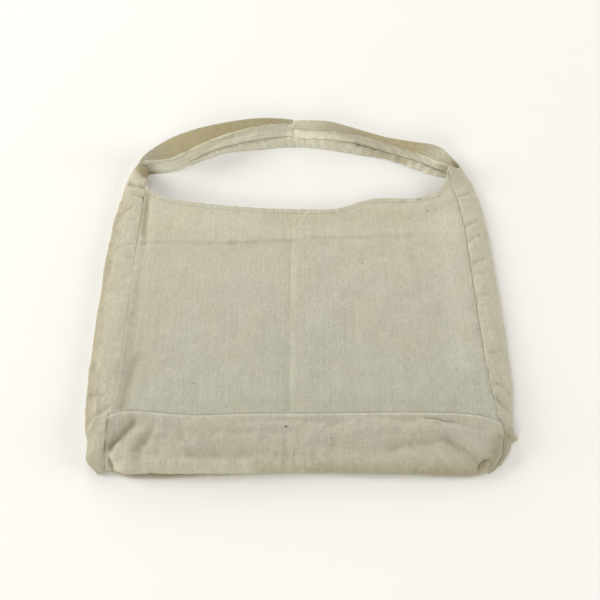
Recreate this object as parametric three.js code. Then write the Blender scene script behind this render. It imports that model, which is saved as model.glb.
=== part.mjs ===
// A soft cotton tote bag, lying on its back with its strap spread out above the mouth.
// Five pieces of cloth: front panel, back panel, base panel and two side bands. Each side band is a
// gusset folded in half lengthwise, and goes on past the shoulder as one half of the strap.
// Units are millimetres. X runs to the right, Y from the base towards the strap, Z up from the floor.
// Every place below is measured from the middle of the base seam. The last step centres the bag.

import * as THREE from 'three';

// Driving dimensions
const CLOTH = 1.6; // thickness of one wall of cloth
const HEM = 9; // width of the turned hem along the mouth
const HEM_EXTRA = 0.8; // thickness that the turned cloth adds to a hem
const SEAM_GAP = 0.9; // space left between two pieces at a seam
const FOLD_RADIUS = 3.2; // radius of a gusset's lengthwise fold
const NOSE_RADIUS = 2.4; // radius where the base turns under the bag
const REAR_SEAM_Y = -49; // the seam between base and back panel, on the floor
const BASE_SEAM_Y = -6; // the seam between front panel and base
const BACK_SHIFT = -44; // the back panel lies this much lower than the front panel
const LOW_PLANE = CLOTH / 2; // height of the middle of a cloth that lies on the floor
const BELLY_REACH = 24; // how far the base goes on level from its top seam before it falls
const BELLY_SWELL = 2; // how much the base swells above its top seam
const BELLY_FALL = 0.62; // share of that seam's height at which the base stands upright
const RISE_POWER = 3; // the higher, the flatter the front panel's top and the steeper its sides

// Side bands, from the base corner along the crease to the middle of the strap.
// x and y place the crease on the floor. turn is the way the section faces from there: 0 across the bag,
// 90 towards the base. back and front are the widths of the two halves from the crease to their edges,
// and tilt is the slope of the front half: 0 lies flat, 90 stands up. roll is the height of the soft roll
// that the back half of the strap makes beside the crease.
const LEFT_BAND = [
  { at: 'base corner', x: -203, y: -57, turn: -10, back: 10, front: 7, tilt: 12, roll: 0 },
  { at: 'base side', x: -215, y: -44, turn: -16, back: 20, front: 20, tilt: 26, roll: 0 },
  { at: 'waist', x: -216, y: -26, turn: -12, back: 23, front: 23, tilt: 32, roll: 0 },
  { at: 'base seam', x: -220.5, y: -8, turn: -8, back: 29, front: 28, tilt: 33, roll: 0 },
  { at: 'low side', x: -225, y: 30, turn: 0, back: 34, front: 32, tilt: 20, roll: 0 },
  { at: 'middle side', x: -227, y: 110, turn: 0, back: 36, front: 33, tilt: 12, roll: 0 },
  { at: 'upper side', x: -227, y: 195, turn: 0, back: 36, front: 32, tilt: 11, roll: 0 },
  { at: 'high side', x: -225, y: 262, turn: 3, back: 35, front: 31, tilt: 10, roll: 0 },
  { at: 'shoulder', x: -219, y: 308, turn: 10, back: 28, front: 26, tilt: 13, roll: 0 },
  { at: 'corner', x: -216, y: 327, turn: 16, back: 24, front: 24, tilt: 19, roll: 0 },
  { at: 'turn', x: -212, y: 343, turn: 28, back: 20, front: 19, tilt: 36, roll: 0 },
  { at: 'fold', x: -207, y: 353.5, turn: 42, back: 18, front: 8, tilt: 54, roll: 1 },
  { at: 'lift', x: -197.5, y: 361.5, turn: 50, back: 18, front: 12, tilt: 86, roll: 3 },
  { at: 'strap foot', x: -171, y: 365, turn: 58, back: 18, front: 29.5, tilt: 92, roll: 4 },
  { at: 'strap rise', x: -147, y: 378, turn: 58, back: 18, front: 32, tilt: 92, roll: 5 },
  { at: 'strap bend', x: -113, y: 401.5, turn: 64, back: 24, front: 24.5, tilt: 91, roll: 7 },
  { at: 'strap top', x: -67, y: 421.5, turn: 75, back: 35, front: 16.5, tilt: 90, roll: 8 },
  { at: 'strap lean', x: -34, y: 428, turn: 83, back: 37, front: 11.5, tilt: 90, roll: 8 },
  { at: 'strap seam', x: -12.4, y: 428, turn: 90, back: 36, front: 9, tilt: 90, roll: 7 },
];
const RIGHT_BAND = [
  { at: 'base corner', x: 184, y: -56.5, turn: -10, back: 10, front: 2, tilt: 12, roll: 0 },
  { at: 'base turn', x: 197, y: -46, turn: -20, back: 13, front: 3, tilt: 22, roll: 0 },
  { at: 'base side', x: 205, y: -35, turn: -16, back: 17, front: 6.5, tilt: 32, roll: 0 },
  { at: 'tab end', x: 209, y: -23.5, turn: -12, back: 20.5, front: 12, tilt: 36, roll: 0 },
  { at: 'tab tip', x: 215, y: -20, turn: -11, back: 27, front: 19, tilt: 36, roll: 0 },
  { at: 'tab top', x: 211.5, y: -10, turn: -8, back: 23.5, front: 15.5, tilt: 38, roll: 0 },
  { at: 'low side', x: 217, y: 30, turn: 0, back: 30, front: 25, tilt: 26, roll: 0 },
  { at: 'middle side', x: 219, y: 105, turn: 0, back: 32, front: 26, tilt: 15, roll: 0 },
  { at: 'upper side', x: 219, y: 190, turn: 0, back: 33, front: 26, tilt: 12, roll: 0 },
  { at: 'high side', x: 217, y: 258, turn: 4, back: 32, front: 25, tilt: 11, roll: 0 },
  { at: 'shoulder', x: 212, y: 302, turn: 10, back: 27, front: 24, tilt: 10, roll: 0 },
  { at: 'corner', x: 209, y: 318, turn: 14, back: 25, front: 24, tilt: 14, roll: 0 },
  { at: 'turn', x: 202.5, y: 337, turn: 20, back: 22, front: 24, tilt: 22, roll: 0 },
  { at: 'fold', x: 197.5, y: 347.5, turn: 36, back: 20, front: 14, tilt: 50, roll: 1 },
  { at: 'lift', x: 190.5, y: 353.5, turn: 50, back: 19, front: 10, tilt: 82, roll: 2 },
  { at: 'strap foot', x: 167, y: 362.5, turn: 66, back: 20, front: 20, tilt: 110, roll: 4 },
  { at: 'strap rise', x: 140, y: 378, turn: 70, back: 21, front: 17.5, tilt: 94, roll: 5 },
  { at: 'strap bend', x: 106, y: 392.5, turn: 72, back: 21, front: 12.5, tilt: 91, roll: 6 },
  { at: 'strap top', x: 70, y: 407, turn: 72, back: 28, front: 12.5, tilt: 90, roll: 7 },
  { at: 'strap lean', x: 36, y: 416, turn: 72, back: 29, front: 17, tilt: 90, roll: 8 },
  { at: 'strap step', x: 10, y: 418.5, turn: 78, back: 27, front: 17, tilt: 90, roll: 8 },
  { at: 'strap seam', x: -11.6, y: 420.5, turn: 90, back: 28, front: 15, tilt: 90, roll: 7 },
];

// The scooped mouth of the front panel, from the left shoulder to the right one
const MOUTH = [
  { x: -190, y: 314 },
  { x: -172, y: 297 },
  { x: -139, y: 285 },
  { x: -90, y: 278 },
  { x: -30, y: 273 },
  { x: 22, y: 273 },
  { x: 62, y: 287 },
  { x: 100, y: 292 },
  { x: 140, y: 295 },
  { x: 163, y: 311 },
  { x: 180, y: 328 },
];

// The line along which the base meets the floor
const FOOT = [
  { x: -195, y: -60 },
  { x: -140, y: -62 },
  { x: -80, y: -59 },
  { x: 0, y: -56.5 },
  { x: 80, y: -57.5 },
  { x: 145, y: -60 },
  { x: 186, y: -57 },
];

// How far the middle of the front panel stands above its side seams, from the base seam to the mouth
const FRONT_RISE = [
  { share: 0, rise: 4 },
  { share: 0.35, rise: 7 },
  { share: 0.75, rise: 6 },
  { share: 1, rise: 4 },
];

// Soft folds in the front panel and the base: straight lines seen from above, pressed in where
// depth is positive and standing up where it is negative
const FOLDS = [
  { name: 'centre crease', x1: -12, y1: 268, x2: -12, y2: 2, width: 9, depth: 1.4 },
  { name: 'packing crease left', x1: -180, y1: 228, x2: 10, y2: 228, width: 8, depth: -1.2 },
  { name: 'packing crease right', x1: 10, y1: 228, x2: 184, y2: 244, width: 8, depth: -1.2 },
  { name: 'valley by the left seam', x1: -182, y1: 300, x2: -183, y2: 20, width: 8, depth: 1.6 },
  { name: 'dent at the left corner', x1: -172, y1: -8, x2: -189, y2: -32, width: 8, depth: 3 },
  { name: 'second dent at the left', x1: -150, y1: -11, x2: -156, y2: -32, width: 7, depth: 1.5 },
  { name: 'tuck at the right', x1: 116, y1: -9, x2: 176, y2: -20, width: 7, depth: 2 },
  { name: 'dent at the right corner', x1: 130, y1: -30, x2: 172, y2: -42, width: 10, depth: 2 },
];

// Shares of the base's section, from its top seam to its rear seam, where the nose begins and ends
const NOSE_STARTS = 0.8;
const NOSE_ENDS = 0.9;

// Shares of a piece's width
const BASE_END = 0.07; // the base is drawn to the side bands over this stretch
const SEAM_FADE = 0.02; // the folds of the front panel fade out over this stretch

// Mesh steps
const BAND_STEPS = 52;
const BACK_HALF_STEPS = 6;
const FOLD_STEPS = 4;
const FRONT_HALF_STEPS = 4;
const PANEL_COLUMNS = 30;
const PANEL_ROWS = 24;
const BASE_ROWS = 10;
const BACK_COLUMNS = 14;
const BACK_ROWS = 10;
const SEARCH_STEPS = 40;

// Finish of the cloth
const CREAM = 0xc6c1a8;
const BEIGE = 0xccc6ac;
const BASE_BEIGE = 0xbfb99d;
const ROUGHNESS = 0.95;

const lerp = THREE.MathUtils.lerp;
const clamp = THREE.MathUtils.clamp;
const smooth = THREE.MathUtils.smoothstep;

// Makes a closed solid from a grid of points: the grid is the middle of the cloth, thickness(i, j) its
// thickness there, and the two skins are joined all round the edge.
function clothSolid(points, thickness) {
  const rows = points.length;
  const columns = points[0].length;
  const upper = [];
  const lower = [];
  for (let i = 0; i < rows; i += 1) {
    for (let j = 0; j < columns; j += 1) {
      const normal = gridNormal(points, i, j);
      const half = thickness(i, j) / 2;
      upper.push(points[i][j].clone().addScaledVector(normal, half));
      lower.push(points[i][j].clone().addScaledVector(normal, -half));
    }
  }
  const count = rows * columns;
  const index = [];
  const quad = (a, b, c, d) => index.push(a, b, c, a, c, d);
  for (let i = 0; i + 1 < rows; i += 1) {
    for (let j = 0; j + 1 < columns; j += 1) {
      const a = i * columns + j;
      quad(a, a + 1, a + columns + 1, a + columns);
      quad(count + a, count + a + columns, count + a + columns + 1, count + a + 1);
    }
  }
  const rim = rimOf(rows, columns);
  rim.forEach((a, k) => {
    const b = rim[(k + 1) % rim.length];
    quad(b, a, count + a, count + b);
  });
  const geometry = new THREE.BufferGeometry().setFromPoints([...upper, ...lower]);
  geometry.setIndex(index);
  geometry.computeVertexNormals();
  return geometry;
}

// The grid's outer points in order, anticlockwise seen from above
function rimOf(rows, columns) {
  const rim = [];
  for (let j = 0; j < columns - 1; j += 1) rim.push(j);
  for (let i = 0; i < rows - 1; i += 1) rim.push(i * columns + columns - 1);
  for (let j = columns - 1; j > 0; j -= 1) rim.push((rows - 1) * columns + j);
  for (let i = rows - 1; i > 0; i -= 1) rim.push(i * columns);
  return rim;
}

function gridNormal(points, i, j) {
  const row = points[i];
  const alongRow = row[Math.min(j + 1, row.length - 1)].clone().sub(row[Math.max(j - 1, 0)]);
  const next = points[Math.min(i + 1, points.length - 1)][j];
  const previous = points[Math.max(i - 1, 0)][j];
  return alongRow.cross(next.clone().sub(previous)).normalize();
}

// Steps from 0 to 1, both ends included
function steps(count) {
  return Array.from({ length: count + 1 }, (_, k) => k / count);
}

// A smooth line through the x and y of a table's rows, read as y at a given x
function heightLine(rows) {
  const line = new THREE.SplineCurve(rows.map((row) => new THREE.Vector2(row.x, row.y)));
  return (x) => {
    const t = search((share) => line.getPoint(share).x, x, 0, 1);
    return line.getPoint(t).y;
  };
}

// Finds where a function that rises from low to high reaches a target
function search(value, target, low, high) {
  let from = low;
  let to = high;
  for (let k = 0; k < SEARCH_STEPS; k += 1) {
    const middle = (from + to) / 2;
    if (value(middle) < target) from = middle;
    else to = middle;
  }
  return (from + to) / 2;
}

// A smooth curve through three numbers of each row, at even steps from the first row to the last
function smoothRows(rows, numbers) {
  const places = rows.map((row) => new THREE.Vector3(...numbers(row)));
  return new THREE.CatmullRomCurve3(places, false, 'catmullrom');
}

// A side band: point(along, across) is a place on the cloth, along from the base corner to the strap's
// middle and across in steps from the back edge, round the crease, to the front edge.
// inward is 1 for the left band, whose inside lies to the right of its run, and -1 for the right one.
function sideBand(rows, inward) {
  const crease = smoothRows(rows, (row) => [row.x, row.y, THREE.MathUtils.degToRad(row.turn)]);
  const halves = smoothRows(rows, (row) => [row.back, row.front, THREE.MathUtils.degToRad(row.tilt)]);
  const rolls = smoothRows(rows, (row) => [row.roll, 0, 0]);
  const across = BACK_HALF_STEPS + FOLD_STEPS + FRONT_HALF_STEPS;

  function point(along, step) {
    const { x, y, z: turn } = crease.getPoint(along);
    const { x: back, y: front, z: tilt } = halves.getPoint(along);
    const roll = Math.max(rolls.getPoint(along).x, 0);
    const [reach, height] = section(back, front, tilt, roll, step);
    return new THREE.Vector3(x + inward * reach * Math.cos(turn), y - reach * Math.sin(turn), height);
  }

  // The folded section: the back half on the floor, an arc round the crease, then the front half
  function section(back, front, tilt, roll, step) {
    if (step < BACK_HALF_STEPS) {
      const out = 1 - step / BACK_HALF_STEPS;
      return [lerp(FOLD_RADIUS, back, out), LOW_PLANE + roll * Math.sin(Math.PI * Math.sqrt(out))];
    }
    const turn = (Math.PI - tilt) * clamp((step - BACK_HALF_STEPS) / FOLD_STEPS, 0, 1);
    const beyond = Math.max(step - BACK_HALF_STEPS - FOLD_STEPS, 0) / FRONT_HALF_STEPS;
    const reach = FOLD_RADIUS * (1 - Math.sin(turn)) + front * beyond * Math.cos(tilt);
    const height = LOW_PLANE + FOLD_RADIUS * (1 - Math.cos(turn)) + front * beyond * Math.sin(tilt);
    return [reach, height];
  }

  const rowShare = (name) => rows.findIndex((row) => row.at === name) / (rows.length - 1);
  return {
    across,
    inward,
    point,
    rowShare,
    frontEdge: (along) => point(along, across),
    backEdge: (along) => point(along, 0),
  };
}

const left = sideBand(LEFT_BAND, 1);
const right = sideBand(RIGHT_BAND, -1);

function bandGeometry(band) {
  const grid = steps(BAND_STEPS).map((along) => {
    const row = Array.from({ length: band.across + 1 }, (_, step) => band.point(along, step));
    return band.inward > 0 ? row.reverse() : row;
  });
  return clothSolid(grid, () => CLOTH);
}

// The place on a band's edge at a given y, between the base corner and the lift of the strap
function edgeAt(band, edge, y) {
  return edge(search((along) => edge(along).y, y, 0, band.rowShare('lift')));
}

// A point between the same y on two edges, share 0 on the left and 1 on the right, clear of both seams
function between(leftEdge, rightEdge, y, share) {
  const from = edgeAt(left, leftEdge, y);
  const to = edgeAt(right, rightEdge, y);
  from.x += SEAM_GAP;
  to.x -= SEAM_GAP;
  return from.lerp(to, share);
}

// How far the folds push the cloth down at a place seen from above
function foldDepth(x, y) {
  return FOLDS.reduce((sum, fold) => {
    const line = new THREE.Line3(
      new THREE.Vector3(fold.x1, fold.y1, 0),
      new THREE.Vector3(fold.x2, fold.y2, 0),
    );
    const place = new THREE.Vector3(x, y, 0);
    const near = line.closestPointToPoint(place, true, new THREE.Vector3());
    const far = near.distanceTo(place) / fold.width;
    return sum + fold.depth * Math.exp(-far * far);
  }, 0);
}

// The line of a table's rise at a share from 0 to 1
function riseAt(rows, share) {
  const above = rows.findIndex((row) => row.share >= share);
  if (above <= 0) return rows[0].rise;
  const low = rows[above - 1];
  const high = rows[above];
  return lerp(low.rise, high.rise, (share - low.share) / (high.share - low.share));
}

// A flat-topped hump across the bag: 0 at the side seams, 1 over the middle
function hump(share) {
  return 1 - Math.abs(2 * share - 1) ** RISE_POWER;
}

const mouthAt = heightLine(MOUTH);
const footAt = heightLine(FOOT);
const MOUTH_LEFT = MOUTH[0].x;
const MOUTH_RIGHT = MOUTH[MOUTH.length - 1].x;

// A point of the front panel, across from left to right and up from the base seam to the mouth
function frontPoint(across, up) {
  const mouth = mouthAt(lerp(MOUTH_LEFT, MOUTH_RIGHT, across));
  const y = lerp(BASE_SEAM_Y + SEAM_GAP / 2, mouth, up);
  const place = between(left.frontEdge, right.frontEdge, y, across);
  place.z += hump(across) * riseAt(FRONT_RISE, up);
  place.z -= foldDepth(place.x, place.y) * smooth(Math.min(across, 1 - across), 0, SEAM_FADE);
  return place;
}

// The front panel's rows are even steps up to the hem, then the two lines of the hem
function frontGeometry() {
  const length = mouthAt(0) - BASE_SEAM_Y;
  const plainShare = 1 - (HEM + HEM_EXTRA) / length;
  const rows = [...steps(PANEL_ROWS).map((share) => share * plainShare), 1 - HEM / length, 1];
  const grid = rows.map((up) => steps(PANEL_COLUMNS).map((across) => frontPoint(across, up)));
  const hemRow = rows.length - 2;
  return clothSolid(grid, (i) => (i >= hemRow ? CLOTH + HEM_EXTRA : CLOTH));
}

// A point of the back panel, flat on the floor
function backPoint(across, up) {
  const mouth = mouthAt(lerp(MOUTH_LEFT, MOUTH_RIGHT, across)) + BACK_SHIFT;
  const y = lerp(REAR_SEAM_Y + SEAM_GAP / 2, mouth, up);
  return between(left.backEdge, right.backEdge, y, across).setZ(LOW_PLANE);
}

function backGeometry() {
  const grid = steps(BACK_ROWS).map((up) => (
    steps(BACK_COLUMNS).map((across) => backPoint(across, up))
  ));
  return clothSolid(grid, () => CLOTH);
}

// The end of the base beside a band: down the band's front edge from the base seam to the nose, then
// under to the corner of its back edge
function baseEnd(band) {
  const seamAlong = search((along) => band.frontEdge(along).y, BASE_SEAM_Y, 0, band.rowShare('low side'));
  const corner = band.backEdge(0).setY(REAR_SEAM_Y - SEAM_GAP / 2);
  return (down) => {
    const place = band.frontEdge(seamAlong * Math.max(1 - down / NOSE_STARTS, 0));
    place.lerp(corner, Math.max(down - NOSE_STARTS, 0) / (1 - NOSE_STARTS));
    place.x += SEAM_GAP * band.inward;
    return place;
  };
}

// The base's section at one place along it: over the belly, round the nose and back under the bag
function baseProfile(across, down) {
  const top = frontPoint(across, 0);
  top.z += foldDepth(top.x, top.y);
  const foot = footAt(lerp(FOOT[0].x, FOOT[FOOT.length - 1].x, across));
  const noseHeight = LOW_PLANE + NOSE_RADIUS;
  const seamY = BASE_SEAM_Y - SEAM_GAP / 2;
  const belly = new THREE.CubicBezierCurve(
    new THREE.Vector2(seamY, top.z),
    new THREE.Vector2(seamY - BELLY_REACH, top.z + BELLY_SWELL),
    new THREE.Vector2(foot, top.z * BELLY_FALL),
    new THREE.Vector2(foot, noseHeight),
  );
  if (down <= NOSE_STARTS) {
    const place = belly.getPoint(down / NOSE_STARTS);
    return new THREE.Vector3(top.x, place.x, place.y - foldDepth(top.x, place.x));
  }
  const turn = (Math.PI / 2) * clamp((down - NOSE_STARTS) / (NOSE_ENDS - NOSE_STARTS), 0, 1);
  const under = Math.max(down - NOSE_ENDS, 0) / (1 - NOSE_ENDS);
  const arcY = foot + NOSE_RADIUS * (1 - Math.cos(turn));
  const y = lerp(arcY, REAR_SEAM_Y - SEAM_GAP / 2, under);
  return new THREE.Vector3(top.x, y, noseHeight - NOSE_RADIUS * Math.sin(turn));
}

// The base is its section everywhere, drawn to the ends' curves over its first and last stretch
function baseGeometry() {
  const leftEnd = baseEnd(left);
  const rightEnd = baseEnd(right);
  const grid = steps(BASE_ROWS).map((down) => steps(PANEL_COLUMNS).map((across) => {
    const place = baseProfile(across, down);
    const leftPull = 1 - smooth(across, 0, BASE_END);
    const rightPull = 1 - smooth(1 - across, 0, BASE_END);
    const toLeft = leftEnd(down).sub(baseProfile(0, down));
    const toRight = rightEnd(down).sub(baseProfile(1, down));
    return place.addScaledVector(toLeft, leftPull).addScaledVector(toRight, rightPull);
  }));
  return clothSolid(grid.reverse(), () => CLOTH);
}

function piece(name, geometry, color) {
  const material = new THREE.MeshStandardMaterial({ color, roughness: ROUGHNESS, metalness: 0 });
  const mesh = new THREE.Mesh(geometry, material);
  mesh.name = name;
  return mesh;
}

const bag = new THREE.Group();
bag.name = 'tote_bag';
bag.add(
  piece('front_panel', frontGeometry(), CREAM),
  piece('back_panel', backGeometry(), CREAM),
  piece('base_panel', baseGeometry(), BASE_BEIGE),
  piece('left_side_band', bandGeometry(left), BEIGE),
  piece('right_side_band', bandGeometry(right), BEIGE),
);

// The origin is the middle of the bag's footprint, on the floor
const box = new THREE.Box3().setFromObject(bag);
const centre = box.getCenter(new THREE.Vector3());
bag.position.set(-centre.x, -centre.y, -box.min.z);

export default bag;
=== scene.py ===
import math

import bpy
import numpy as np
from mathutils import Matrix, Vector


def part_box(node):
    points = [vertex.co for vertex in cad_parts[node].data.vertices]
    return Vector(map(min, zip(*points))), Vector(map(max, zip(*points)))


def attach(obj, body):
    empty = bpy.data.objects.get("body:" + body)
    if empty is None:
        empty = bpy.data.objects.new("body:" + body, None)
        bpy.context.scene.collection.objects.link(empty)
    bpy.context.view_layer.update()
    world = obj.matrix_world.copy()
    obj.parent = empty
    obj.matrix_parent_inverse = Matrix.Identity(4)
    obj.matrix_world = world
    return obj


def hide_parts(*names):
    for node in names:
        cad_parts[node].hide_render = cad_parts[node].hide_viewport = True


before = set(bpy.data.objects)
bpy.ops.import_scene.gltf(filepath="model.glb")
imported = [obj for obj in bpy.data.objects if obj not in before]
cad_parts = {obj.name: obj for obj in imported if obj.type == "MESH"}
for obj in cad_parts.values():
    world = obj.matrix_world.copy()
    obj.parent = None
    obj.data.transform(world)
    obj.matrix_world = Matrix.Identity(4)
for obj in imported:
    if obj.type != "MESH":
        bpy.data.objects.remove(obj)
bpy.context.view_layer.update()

# A soft cotton tote bag, lying on its back with its strap spread out above the mouth.
# Places and sizes in the tables are millimetres from the middle of the base seam: X to the right,
# Y from the base towards the strap, Z up from the floor. to_frame() turns them into the frame's metres.

MM = 0.001

# Cloth, hems and seams
CLOTH = 1.4  # thickness of one layer
LOW_PLANE = CLOTH / 2  # middle of a layer that lies on the floor
HEM = 8  # width of the turned hem along the mouth
HEM_EXTRA = 0.35  # thickness that it adds
HEM_SLOPE, BACK_HEM_SLOPE = 3, 1  # widths over which that sets in, front and back
HEM_STITCH = 6.5  # distance of the stitches from the mouth
STITCH_PITCH, STITCH_LENGTH, STITCH_RADIUS = 3.4, 2.5, 0.28
STITCH_PRESS, PRESS_WIDTH = 0.15, 1.3  # depth and half width of the line that they press in
SEAM_GAP = 0.5  # space between two pieces
SEAM_DITCH = 1.1  # how far a sewn edge is drawn down
SEAM_SOFT = 2.2  # width of the roll beside it
SEAM_STILL = 6  # distance from it over which folds and wrinkles set in
LEFT_SEAM_EASE = 0.8  # share by which the left side seam is drawn less, low down
EASE_STARTS, EASE_ENDS = 255, 195  # heights between which that sets in
SEAM_LAP, SEAM_RIDGE = 1.5, 1.1  # how far the base's top edge laps over the front panel, and stands up
SEAM_TUCK = 1.2  # how far the front panel is drawn down under it
TUCK_ENDS = 14  # distance from the side seams over which that sets in
RIDGE_HIGHLIGHT, RIDGE_HIGHLIGHT_SHARE = 1.6, 0.3  # width and strength of the painted highlight on that edge

# The base and the back panel
REAR_SEAM_Y = -49  # the seam between them
BACK_SHIFT = -44  # the back panel lies this much lower than the front
NOSE_RADIUS = 2.4  # where the base turns under the bag
BELLY_REACH = 24  # how far it goes on level from its top seam
BELLY_SWELL = 2  # how much it swells above that seam
BELLY_FALL = 0.62  # share of the seam's height at which it stands upright
NOSE_STARTS, NOSE_ENDS = 0.8, 0.9  # shares of its section where the nose begins and ends
FOLDS_FADE, FOLDS_END = 0.7, 0.85  # shares between which its folds fade out
BASE_DEPTH = 85  # depth of its cut cloth
BASE_END = 0.07  # share of its width over which it is drawn to a side band
BASE_END_STILL = 0.02  # share over which its folds set in

# Side bands, from the base corner along the crease to the middle of the strap. x and y place the crease
# on the floor, and turn is the way the section faces from there: 0 across the bag, 90 towards the base.
# twist turns the front half on from that. back and front are the widths of the two halves, tilt the slope
# of the front half, bend its radius at the crease, and bulge how far it swells. On the strap the back half
# has a soft strip of height puff beside the crease, then a turned hem of height roll that begins at share
# gap of its width. The last two columns are the share of painted shade on the front half's inside, or of
# painted light below 0, and that of painted light on the strip and its edge.
BAND_COLUMNS = (
    "x", "y", "turn", "twist", "back", "front", "tilt",
    "bend", "bulge", "puff", "gap", "roll", "light_and_shade", "paler_share",
)
NO_STRIP = (0, 0.9, 0, 0, 0)  # the columns from puff on, for the rows that stop before it
LEFT_BAND = {
    "base corner": (-203, -57, -10, 0, 10, 8, 4, 1.2, 0),
    "base side": (-215, -44, -16, 0, 20, 20, 26, 3, 1.5),
    "waist": (-216.2, -26, -12, 0, 23, 23, 32, 3, 2),
    "base seam": (-220.5, -8, -8, 0, 29, 28, 33, 3.2, 2.5),
    "low side": (-225, 30, 0, 0, 34, 32, 20, 3.2, 3),
    "middle side": (-227, 110, 0, 0, 36, 33, 12, 3.2, 3),
    "upper side": (-227, 195, 0, 0, 36, 32, 11, 3.2, 3),
    "high side": (-225, 262, 3, 0, 35, 31, 10, 3.2, 2.5),
    "shoulder": (-219, 308, 10, 0, 28, 26, 13, 3.2, 2),
    "corner": (-216, 327, 18, -24, 24, 23, 18, 3, 1.5),
    "turn": (-212.5, 343, 30, -10, 20, 20, 36, 2.8, 1, 0.4, 0.9, 0.3, 0, 0),
    "fold": (-207.3, 353.5, 42, 20, 18, 5, 50, 3, 0, 2.4, 0.9, 0.6, 0, 0.2),
    "lift": (-197.5, 361.5, 50, 20, 20.5, 8, 95, 3, 0, 4.8, 0.88, 1, 0, 0.6),
    "strap foot": (-171, 365, 58, 10, 18, 27.5, 94, 2, 0, 4, 0.86, 1.5, 0.7, 0.6),
    "strap rise": (-147, 378, 58, 0, 18, 29, 94, 1.5, 0, 5.6, 0.81, 1.8, 1, 0.5),
    "strap bend": (-113, 401.5, 64, 0, 24, 22, 92, 1.4, 0, 5.2, 0.7, 2.5, 1, 0.5),
    "strap top": (-67, 421.5, 75, 0, 35, 14, 90, 1.4, 0, 5.2, 0.57, 3, 0.85, 0.6),
    "strap lean": (-34, 428, 83, 0, 37, 9, 90, 1.4, 0, 5.2, 0.56, 3.2, 0.65, 0.5),
    "strap seam": (-12.4, 428, 90, 0, 36, 6.5, 90, 1.4, 0, 4.8, 0.62, 3.2, 0.2, 0.7),
}
RIGHT_BAND = {
    "base corner": (184, -56.5, -10, 0, 10, 0.8, 4, 1.2, 0),
    "base turn": (197, -46, -20, 0, 13, 2, 22, 2.4, 0.5),
    "base side": (205, -35, -16, 0, 17, 6.5, 32, 3, 1),
    "tab end": (209, -23.5, -12, 0, 20, 12, 36, 3, 1),
    "tab tip": (215, -20, -11, 0, 26, 18, 36, 2, 1.5),
    "tab top": (211.5, -10, -8, 0, 24, 17, 38, 3, 1.5),
    "low side": (217, 30, 0, 0, 30, 25, 26, 3.2, 3),
    "middle side": (219, 105, 0, 0, 32, 26, 15, 3.2, 2.5),
    "upper side": (219, 190, 0, 0, 33, 26, 12, 3.2, 2.5),
    "high side": (217, 258, 4, 0, 32, 25, 11, 3.2, 2),
    "shoulder": (212, 302, 10, 0, 27, 24, 10, 3.2, 2),
    "corner": (209.3, 318, 16, -30, 25, 27, 12, 3, 1.5, 0, 0.8, 0, 0, 0),
    "turn": (203.7, 333.2, 24, -36, 22, 26, 30, 3, 1, 0.2, 0.8, 0.3, 0.2, 0),
    "fold": (199, 345.5, 38, -4, 20, 9, 60, 2.5, 0, 1.2, 0.7, 0.8, 0.8, 0),
    "lift": (190.5, 353.5, 52, 12, 19, 9.5, 82, 2.5, 0, 2.4, 0.6, 1.5, 0.5, 0),
    "strap foot": (167, 362.5, 66, 0, 20, 18, 118, 2, 0, 4.4, 0.5, 2.4, 0, 0.5),
    "strap rise": (140, 378, 70, 0, 21, 15, 96, 1.5, 0, 4.8, 0.55, 2.8, 0.9, 0.3),
    "strap bend": (106, 392.5, 72, 0, 21, 10, 92, 1.4, 0, 4.8, 0.53, 3, 0.8, 0.1),
    "strap top": (70, 407, 72, 0, 28, 10, 90, 1.4, 0, 5.2, 0.42, 3.2, 0.6, 0.2),
    "strap lean": (36, 416, 72, 0, 29, 14.5, 90, 1.4, 0, 4.8, 0.54, 3.2, 0, 0.8),
    "strap step": (10, 418.5, 78, 0, 27, 14.5, 90, 1.4, 0, 4.8, 0.6, 3.2, -0.45, 1),
    "strap seam": (-11.6, 420.5, 90, 0, 28, 13.5, 90, 1.4, 0, 4, 0.55, 3.2, -0.5, 1),
}
STRIP_END = 0.35  # height of the strip at the hem, as a share of puff
STRIP_EDGE, STRIP_EDGE_GLOW = 2, 1.1  # width of the painted highlight on the strip's edge, and how much paler it is
VALLEY, VALLEY_WIDTH = 0.12, 0.8  # depth behind that edge, as a share of puff, and half width
GROOVE, GROOVE_ROLL = 1.3, 3.2  # half width of the line before the hem, deepest at this roll
GROOVE_DEEPEST = 0.95  # share of the height lost there
CREVICE_SHADE = 0.7  # strength of the painted shade along it, and along the base's lip
HEM_PALER = 0.45  # share of the strip's painted light on the hem
HEM_SETS_IN = 0.15  # share of the width over which the hem's lumps and its share of painted light set in
PALER_ENDS, SHADE_STARTS = 0.04, 0.1  # shares of the front half where the strip's painted light ends and the painted shade sets in
FOLDS_START = 0.15  # share of the front half over which its folds set in
ALLOWANCE, ALLOWANCE_EXTRA = 9, 0.8  # width and thickness of the cloth turned at the strap's seam
ALLOWANCE_SLOPE = 0.5  # half the width over which that sets in

# Lines seen from above, as (x, y): the front panel's mouth, its seam with the base, and the base's foot
MOUTH = (
    (-190, 314), (-180, 302), (-168, 294.5), (-145, 286.5), (-100, 279), (-50, 274.7), (0, 272.5), (30, 273),
    (48, 279), (62, 285), (80, 289.5), (104, 290.3), (125, 291.5), (140, 296), (155, 303.5), (166, 315),
    (173, 329), (176, 337),
)
BASE_SEAM = (
    (-193, -5), (-177, -2), (-150, -4.2), (-107, -8), (-55, -6),
    (16, -5.5), (76, -4), (142, -3.4), (175, -5), (194, -9),
)
FOOT = ((-195, -60), (-140, -62), (-80, -59), (0, -56.5), (80, -57.5), (145, -60), (186, -57))

# How far the middle of the front panel stands above its sides, as (share from base to mouth, rise)
FRONT_RISE = ((0, 4), (0.35, 7), (0.75, 6), (1, 4))
RISE_POWER = 3  # the larger, the flatter the panel

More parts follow.
